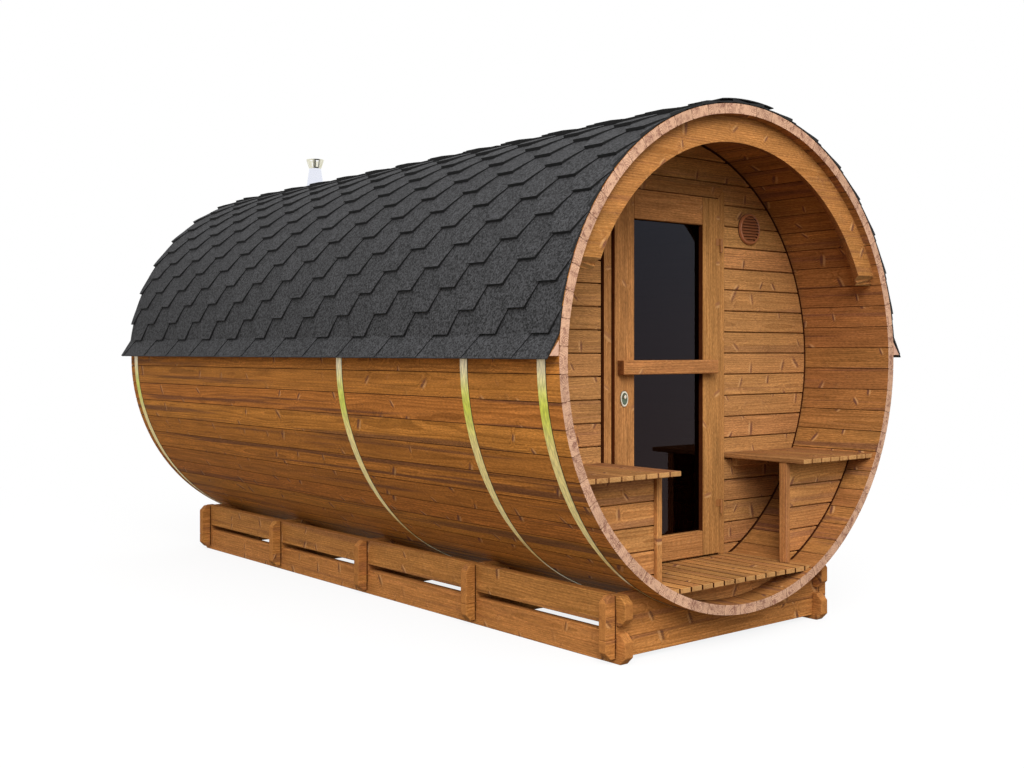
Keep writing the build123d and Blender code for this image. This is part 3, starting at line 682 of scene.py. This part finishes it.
def worked_metal(name, light, dark, strokes, gloss):
    """Bare metal that strokes of a brush or a lathe leave satin: strokes per metre along each axis."""
    material, tree, shader = blank(name)
    stroke = add(tree, "Mapping", {"Vector": add(tree, "TexCoord")["Object"], "Scale": strokes})[0]
    stroke = add(tree, "TexNoise", {"Vector": stroke, "Scale": 1, "Detail": 2})[0]
    gloss = add(tree, "MapRange", {0: stroke, 3: gloss[0], 4: gloss[1]})[0]
    colour = add(tree, "Mix", {0: stroke, 6: linear(light), 7: linear(dark)}, **rgba)[2]
    wire(shader, {"Metallic": 1.0, "Base Color": colour, "Roughness": gloss})
    return material


def turn_body(shape, x, z, rows, steps=40):
    """A body about a line along the barrel, from rows of half width, half height, y and material."""
    angles = [2 * math.pi * step / steps for step in range(steps)]
    loops = [[shape.verts.new((x + half_x * math.cos(a), y, z + half_z * math.sin(a))) for a in angles]
             for half_x, half_z, y, _ in rows]
    for faces, row in zip(skin(shape, loops), rows[1:]):
        for face in faces:
            face.material_index = row[3]
    close_ends(shape, loops)[1].material_index = rows[-1][3]


brushing, brushed_gloss = (900, 900, 60), (0.24, 0.4)
satin_nickel = worked_metal("satin_nickel", "#F2EAD6", "#D8D0BC", brushing, brushed_gloss)
dark_dish_and_shade = worked_metal("darkened_nickel", "#6E7A66", "#56604E", brushing, brushed_gloss)
lock_low, lock_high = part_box("door_lock")
lock_x, lock_z = (lock_low.x + lock_high.x) / 2, (lock_low.z + lock_high.z) / 2
rose_x, rose_z = (lock_high.x - lock_low.x) / 2, (lock_high.z - lock_low.z) / 2
knob_radius, knob_lift = 0.010, 0.009
# Material 1 on the rose's outer edge is painted shade; on the inner slope and the dish it is the dish's
# darker nickel.
rose_rows = ((1, 0, 0), (1, 0.003, 1), (0.92, 0.0055, 0), (0.74, 0.0055, 0), (0.64, 0.003, 1))
knob_rows = ((1, 0.0029), (1, 0.008), (0.8, 0.011), (0.4, 0.0125))
rose = bmesh.new()
turn_body(rose, lock_x, lock_z, [(rose_x * share, rose_z * share, lock_high.y - rise, metal)
                                 for share, rise, metal in rose_rows])
turn_body(rose, lock_x, lock_z + knob_lift, [(knob_radius * share, knob_radius * share, lock_high.y - rise, 0)
                                             for share, rise in knob_rows])
face_out(rose)
put_in_place("lock_rose", rose, "door", ["door_lock"], (satin_nickel, dark_dish_and_shade))

# Hinges: three lift-off hinges on the other stile, of steel stove-enamelled brown like the wood.
# The enamel flows a little before it sets, which leaves a soft mottle and a dull shine.


def mottled(name, light, dark, lumps, roughness, detail=2, relief=0):
    """A moulded or coated surface with soft lumps of two tones, so many per metre."""
    material, tree, shader = blank(name)
    lump = add(tree, "TexNoise", {"Vector": add(tree, "TexCoord")["Object"], "Scale": lumps,
                                  "Detail": detail})[0]
    colour = add(tree, "Mix", {0: lump, 6: linear(light), 7: linear(dark)}, **rgba)[2]
    wire(shader, {"Base Color": colour, "Roughness": roughness})
    if relief:
        wire(shader, {"Normal": add(tree, "Bump", {"Strength": 0.2, "Distance": relief, "Height": lump})[0]})
    return material


hinge_enamel = mottled("brown_stove_enamel", "#A06B3C", "#8C5A30", 90, 0.45)
for node in ("door_hinge_leaves", "frame_hinge_pins"):
    coat(node, hinge_enamel)

# Vent: a round louvred cover moulded in red-brown plastic with a slight shine, screwed over a hole in
# the wall. Its louvres slope outwards; its foot, the wall of its mouth and the disc behind the louvres
# are painted dark as shade.
vent_rim, vent_foot, vent_lip, vent_bevel = 0.012, 0.005, 0.003, 0.002
louvre_count, louvre_thickness, louvre_drop, louvre_sunk = 9, 0.0028, 0.006, 0.0005
vent_plastic = mottled("moulded_brown_plastic", "#B0704A", "#9A5C3A", 160, 0.3, detail=3, relief=0.0004)
dark_duct, _, shader = blank("dark_duct")
wire(shader, {"Base Color": linear("#3A1A0C"), "Roughness": 0.6})
vent_low, vent_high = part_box("vent_cover")
vent_x, vent_z = (vent_low.x + vent_high.x) / 2, (vent_low.z + vent_high.z) / 2
vent_radius = (vent_high.x - vent_low.x) / 2
vent_mouth = vent_radius - vent_rim
cover = bmesh.new()
# Material 1 on the foot ring, the mouth's wall and the disc behind the louvres is painted shade.
turn_body(cover, vent_x, vent_z, [(radius, radius, y, plastic) for radius, y, plastic in (
    (vent_radius, vent_high.y, 1), (vent_radius, vent_high.y - vent_foot, 1),
    (vent_radius - vent_bevel, vent_low.y + vent_lip, 0), (vent_radius - vent_foot, vent_low.y, 0),
    (vent_mouth + vent_bevel, vent_low.y, 0), (vent_mouth, vent_low.y + vent_bevel, 0),
    (vent_mouth, vent_high.y - vent_lip, 1))])
for number in range(louvre_count):
    level = vent_mouth * ((2 * number + 1) / louvre_count - 1)
    half = math.sqrt(vent_mouth**2 - level**2) + louvre_sunk
    outer_y, inner_y = vent_low.y + vent_bevel, vent_high.y - vent_bevel
    profile = ((outer_y, -louvre_drop), (outer_y, -louvre_drop + louvre_thickness),
               (inner_y, louvre_drop + louvre_thickness), (inner_y, louvre_drop))
    loops = [[cover.verts.new((x, y, vent_z + level + rise)) for y, rise in profile]
             for x in (vent_x - half, vent_x + half)]
    skin(cover, loops)
    close_ends(cover, loops)
face_out(cover)
put_in_place("vent_grille", cover, "sauna", ["vent_cover"], (vent_plastic, dark_duct))

# Porch benches: slats on a ledger at the wall and on a panel of boards near the rim, with a
# post at the panel's inner edge. All are oiled pine, screwed together from below.
bench_pine = pine("oiled_bench_pine", "#9E6E42", "#885C36", "#74503C", "#644034", streaks=0.5)
panels = []
panel_fields = []
for side in ("left", "right"):
    eased_timbers(f"bench_{side}_slats", [f"bench_slats_{side}"], y_way, (bench_pine, porch_end),
                  edge=slat_edge)
    panels.append(f"bench_panel_{side}")
    low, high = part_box(panels[-1])
    panel_fields.append((low.x, high.x, low.z, high.z, low.y, high.y, panels[-1], dark_lip))
# The panel boards' joints and edges take the dark edge wood: painted shade.
board_wall("bench_panel_boards", panel_fields, panels, (porch_pine, wall_shade))
eased_timbers("bench_post_timbers", ["bench_posts"], z_way, porch_woods, edge=slat_edge)
eased_timbers("bench_ledger_timbers", ["bench_ledgers"], x_way, porch_woods, edge=slat_edge)

# Visor: an arch sawn out of two thick horizontal pine boards glued edge to edge, screwed under the staves
# just inside the front rim. It leans back a little at the top, and its ends are sawn on a slope.
visor_joint = axis_height + 0.569
visor_edge = 0.003
visor_lean = 0.016
visor_thinned = 0.030
visor_end_height = 0.07
soffit_facing, slope_facing, foot_facing = 0.7, 0.3, 0.4
visor_pine = pine("sawn_visor_pine", "#AC7842", "#946230", "#7E5234", "#6E4638", tone=(0.97, 1.04),
                  streaks=0.6, knots=0.5)
visor_end = pine("visor_sawn_edges", "#B88E5C", "#A87E4E", "#987048", "#8A5A50")
visor_soffit = pine("shaded_visor_soffit", "#84522A", "#6E4220", "#5E3A24", "#4E3020", streaks=0.4, knots=0.2)


def cut_off(shape, point, away):
    """Saw a shape off at a plane; the faces that close the cut."""
    everything = shape.verts[:] + shape.edges[:] + shape.faces[:]
    found = bmesh.ops.bisect_plane(shape, geom=everything, plane_co=point, plane_no=away, clear_outer=True)
    rim = [e for e in found["geom_cut"] if isinstance(e, bmesh.types.BMEdge)]
    return bmesh.ops.holes_fill(shape, edges=rim)["faces"]


visor_low, visor_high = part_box("front_visor")
arch = bmesh.new()
for board in (-1, 1):
    shape = cad_shape("front_visor")
    for corner in shape.verts:
        share = (corner.co.z - visor_low.z) / (visor_high.z - visor_low.z)
        if corner.co.y < (visor_low.y + visor_high.y) / 2:
            corner.co.y += visor_lean * share
        else:
            corner.co.y -= visor_thinned
    cut_off(shape, (0, 0, visor_joint), (0, 0, -board))
    ease(shape, visor_edge)
    join(arch, shape)
give_grain(arch, x_way, random.Random("visor"))
for face in arch.faces:
    middle = face.calc_center_median()
    inward = -(face.normal.x * middle.x + face.normal.z * (middle.z - axis_height)) / inner_radius
    if inward > soffit_facing:
        face.material_index = 2
    else:
        # Material 1 lies on the sawn end facets at the feet and on the bevel along the inner front edge; on
        # the bevel its lighter colour is a painted highlight.
        foot = middle.z < visor_low.z + visor_end_height and face.normal.z < -foot_facing
        face.material_index = int(foot or (inward > slope_facing and face.normal.y < -slope_facing))
put_in_place("front_visor_arch", arch, "sauna", ["front_visor"],
             (visor_pine, visor_end, visor_soffit))

# Eaves battens: triangular pine strips nailed along both sides, which kick the lowest shingles
# out. Their sawn ends show at the front rim.
batten_edge = 0.002
batten_end = end_grain("batten_end_grain", "#D2AA92", "#A87B6C")
eased_timbers("eaves_batten_strips", ["eaves_battens"], y_way, (porch_pine, batten_end),
              edge=batten_edge)

# Shingles: bitumen felt strips cut into hexagonal tabs, with dark, dull granules. Each course covers
# the nails of the one below, and the black cut edges draw the pattern. Real granules are
# 1 to 2 mm; they are drawn about four times as large, so that they show at all.
tab_pitch = 0.314
tab_flat = tab_pitch / 3
shingle_exposure = 0.0985
eaves_exposure = 0.100
head_lap = 0.010
felt_thickness = 0.004
edge_lift = 0.007            # a tab lies flat, so its edge stands off the round roof
first_tab = 0.098            # front rim to the middle of the first tab
course_count = 17
tab_notch = 0.0005
felt_clearance = 0.0003
granule_size = 0.00625
roof_bed = hoop_high.x + felt_clearance
roof_turn = shingle_exposure / roof_bed

granules, tree, shader = blank("mineral_granules_on_bitumen")
place = add(tree, "TexCoord")["Object"]
grit = add(tree, "TexVoronoi", {"Vector": place, "Scale": 1 / granule_size})["Color"]
grit = add(tree, "SeparateColor", {0: grit})["Red"]
blotch = add(tree, "TexNoise", {"Vector": place, "Scale": 9, "Detail": 3})[0]
strip = add(tree, "Attribute", attribute_name="board")["Fac"]
colour = add(tree, "Mix", {0: grit, 6: linear("#1A1A1A"), 7: linear("#48484A")}, **rgba)[2]
strip = add(tree, "MapRange", {0: strip, 3: 0.94, 4: 1.06})[0]
blotch = add(tree, "MapRange", {0: blotch, 1: 0.3, 2: 0.7, 3: 0.94, 4: 1.06})[0]
strip = add(tree, "Math", {0: strip, 1: blotch}, "MULTIPLY")[0]
colour = add(tree, "HueSaturation", {"Value": strip, "Color": colour})[0]
relief = add(tree, "Bump", {"Strength": 0.3, "Distance": 0.002, "Height": grit})[0]
wire(shader, {"Roughness": 0.92, "Specular IOR Level": 0.25, "Base Color": colour, "Normal": relief})
cut_felt = mottled("cut_bitumen_felt", "#0B0B0B", "#181818", 300, 0.8)
felts = {"Face": granules, "Edge": cut_felt}


def tab(name, rows):
    """A closed felt tab from rows of its half width and its under and upper points across the barrel."""
    shape = bmesh.new()
    loops = []
    for half, under, over in rows:
        corners = ((-half, under), (half, under), (half, over), (-half, over))
        loops.append([shape.verts.new((point[0], side, point[1])) for side, point in corners])
    cut = close_ends(shape, loops)
    for faces in skin(shape, loops):
        cut += [faces[1], faces[3]]
    return marked_mesh(name, shape, cut)


def on_roof(arc, rise):
    """A point across the barrel, by its arc above the axis's level and its rise from the roof's bed."""
    angle = arc / roof_bed
    return ((roof_bed + rise) * math.cos(angle), (roof_bed + rise) * math.sin(angle))


course_rows = []
for half, arc in ((tab_flat / 2, 0), (tab_flat * 3 / 4, shingle_exposure / 2), (tab_flat, shingle_exposure),
                  (tab_pitch / 2, shingle_exposure + tab_notch), (tab_pitch / 2, 1.5 * shingle_exposure),
                  (tab_pitch / 2, 2 * shingle_exposure + head_lap)):
    laps = arc / shingle_exposure
    under = max((2 - laps) * felt_thickness, 0)
    lift = edge_lift * max(1 - laps, 0)
    course_rows.append((half, on_roof(arc, under), on_roof(arc, under + felt_thickness + lift)))

batten_low, batten_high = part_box("eaves_battens")
roof_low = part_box("roof_right")[0]
batten_rise = batten_high.z - axis_height
batten_top = Vector((math.sqrt(roof_bed**2 - batten_rise**2), batten_rise))
batten_tip = Vector((batten_high.x, batten_low.z - axis_height))
slope = (batten_tip - batten_top).normalized()
outward = Vector((-slope.y, slope.x))
eaves_tip = batten_tip + slope * (batten_tip.y - (roof_low.z - axis_height)) / -slope.y


def eaves_point(share, rise):
    """A point on the eaves row, from the drip edge (0) to the first course (1) and on under it."""
    top = on_roof(eaves_exposure, rise)
    foot = eaves_tip + outward * rise
    if share <= 1:
        return (foot.x + (top[0] - foot.x) * share, foot.y + (top[1] - foot.y) * share)
    past = share - 1
    return on_roof(eaves_exposure + past * shingle_exposure, max(rise - past * felt_thickness, 0))


starter_rows = [(tab_pitch / 2, eaves_point(share, 0), eaves_point(share, felt_thickness))
                for share in (0, 0.5, 1, 1.9)]
eaves_rows = [(half, eaves_point(share, felt_thickness), eaves_point(share, 2 * felt_thickness))
              for half, share in ((tab_flat / 2, 0), (tab_flat * 3 / 4, 0.5), (tab_flat, 1),
                                  (tab_pitch / 2, 1.005), (tab_pitch / 2, 1.5), (tab_pitch / 2, 2.0))]
columns = math.ceil((rear_y - front_y) / tab_pitch) + 2
first_y = front_y + first_tab - tab_pitch
for side, facing, ridge_away in (("right", 0.0, -1), ("left", math.pi, 1)):
    roof = bmesh.new()
    for kind, rows, courses, start_y, first_angle in (
            ("starter", starter_rows, 1, first_y - tab_pitch, 0.0),
            ("eaves", eaves_rows, 1, first_y - tab_pitch / 2, 0.0),
            ("courses", course_rows, course_count, first_y, eaves_exposure / roof_bed)):
        lay_round(roof, tab(kind, rows), Courses=courses, Columns=columns, Pitch=tab_pitch, First_Y=start_y,
                  Stagger=tab_pitch / 2, First_Angle=first_angle, Step_Angle=roof_turn, Facing=facing,
                  Seed=11, **felts)
    for point, away in (((0, front_y, 0), (0, -1, 0)), ((0, rear_y, 0), (0, 1, 0)),
                        ((0, 0, 0), (ridge_away, 0, 0))):
        for face in cut_off(roof, point, away):
            face.material_index = 1
    put_in_place(f"shingles_{side}", roof, "sauna", [f"roof_{side}"], (granules, cut_felt))

# Ridge cap: single tabs of the same felt bent over the ridge and nailed, each lapping the next
# towards the front.
cap_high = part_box("ridge_cap")[1]
cap_exposure = 0.25
cap_lap = 0.05
cap_steps = 8
cap_bed = roof_bed + 3 * felt_thickness
cap_turn = math.asin(cap_high.x / (cap_bed + felt_thickness))
cap = bmesh.new()
loops = []
for end, lift in ((0, felt_thickness), (cap_exposure + cap_lap, 0)):
    for rise in (0, felt_thickness):
        radius = cap_bed + felt_clearance + lift + rise
        angles = [cap_turn * (2 * step / cap_steps - 1) for step in range(cap_steps + 1)]
        loops.append([cap.verts.new((radius * math.cos(a), end, radius * math.sin(a))) for a in angles])
for a, b in ((0, 1), (1, 3), (3, 2), (2, 0)):
    for step in range(cap_steps):
        cap.faces.new((loops[a][step], loops[a][step + 1], loops[b][step + 1], loops[b][step]))
for step in (0, cap_steps):
    cap.faces.new((loops[0][step], loops[1][step], loops[3][step], loops[2][step]))
face_out(cap)
ridge_tab = marked_mesh("ridge_tab", cap, [f for f in cap.faces if abs(f.normal.x) < 0.6])
ridge = bmesh.new()
lay_round(ridge, ridge_tab, Courses=1, Columns=round((rear_y - front_y) / cap_exposure), Pitch=cap_exposure,
          First_Y=front_y, First_Angle=math.pi / 2, Seed=5, **felts)
for face in cut_off(ridge, (0, rear_y, 0), (0, 1, 0)):
    face.material_index = 1
put_in_place("ridge_tabs", ridge, "sauna", ["ridge_cap"], (granules, cut_felt))

# Chimney: a stainless flue with a spun conical flashing and a slotted crown that flares out. The sheet
# mirrors the sky in fine rings; smoke has turned the flue and the crown a pale straw.
spinning, spun_gloss = (15, 15, 500), (0.16, 0.3)
stainless = worked_metal("bright_stainless_sheet", "#F2F4FC", "#DCE0EE", spinning, spun_gloss)
tarnished = worked_metal("smoke_tarnished_sheet", "#F6F2DE", "#D2D0BC", spinning, spun_gloss)
for node, sheet in (("chimney_flue", tarnished), ("chimney_flashing", stainless),
                    ("chimney_crown", tarnished)):
    coat(node, sheet)

# Studio: a pale floor that turns white away from the barrel, a white room and one soft lamp. Light
# that bounces off the floor is that of a grey one, so that the underside stays dark.
floor_half = 60
white_from, white_to = 2.0, 6.0
floor_mesh = bpy.data.meshes.new("studio_floor")
corners = [(x * floor_half, y * floor_half, 0) for x, y in ((-1, -1), (1, -1), (1, 1), (-1, 1))]
floor_mesh.from_pydata(corners, [], [(0, 1, 2, 3)])
floor = stand("studio_floor", floor_mesh)
pale, tree, shader = blank("pale_studio_floor")
away = add(tree, "VectorMath", {0: add(tree, "TexCoord")["Object"]}, "LENGTH")["Value"]
away = add(tree, "MapRange", {0: away, 1: white_from, 2: white_to, 3: 0.86, 4: 1.0}, **soft)[0]
path = add(tree, "LightPath")
seen = add(tree, "Math", {0: path["Is Camera Ray"], 1: path["Is Glossy Ray"]}, "MAXIMUM")[0]
seen = add(tree, "Math", {0: seen, 1: path["Is Transmission Ray"]}, "MAXIMUM")[0]
colour = add(tree, "Mix", {0: seen, 6: linear("#6C6252"), 7: linear("#F4F4F4")}, **rgba)[2]
wire(shader, {"Roughness": 1.0, "Specular IOR Level": 0.0, "Base Color": colour})
seen = add(tree, "Math", {0: seen, 1: away}, "MULTIPLY")[0]
white = add(tree, "Emission", {"Color": (1, 1, 1, 1), "Strength": 1.0})[0]
surface = add(tree, "MixShader", {0: seen, 1: shader.outputs[0], 2: white})[0]
wire(tree.nodes["Material Output"], {"Surface": surface})
floor_mesh.materials.append(pale)

room = bpy.data.worlds.new("white_room")
bpy.context.scene.world = room
room.use_nodes = True
wire(room.node_tree.nodes["Background"], {"Strength": 1.0, "Color": (1, 1, 1, 1)})

lamp = bpy.data.lights.new("key_lamp", "AREA")
lamp.size = 6.0
lamp.energy = 1000
key = stand("key_lamp", lamp)
key.location = (-5.0, -8.0, 7.0)
key.rotation_euler = (Vector((0, -0.5, 1.0)) - key.location).to_track_quat("-Z", "Y").to_euler()
key.visible_glossy = False

# Camera: a little above the barrel's axis, left of the porch, as in the photograph. Its lens and
# its shift come from a fit to the two rims.
lens = bpy.data.cameras.new("camera")
lens.sensor_width = 36
lens.lens = 42.32
lens.shift_y = -0.0315
camera = stand("camera", lens)
camera.location = (-4.016, -5.294, 1.241)
camera.rotation_euler = (math.pi / 2, 0, math.radians(-39.51))
bpy.context.scene.camera = camera
bpy.context.scene.view_settings.view_transform = "Standard"
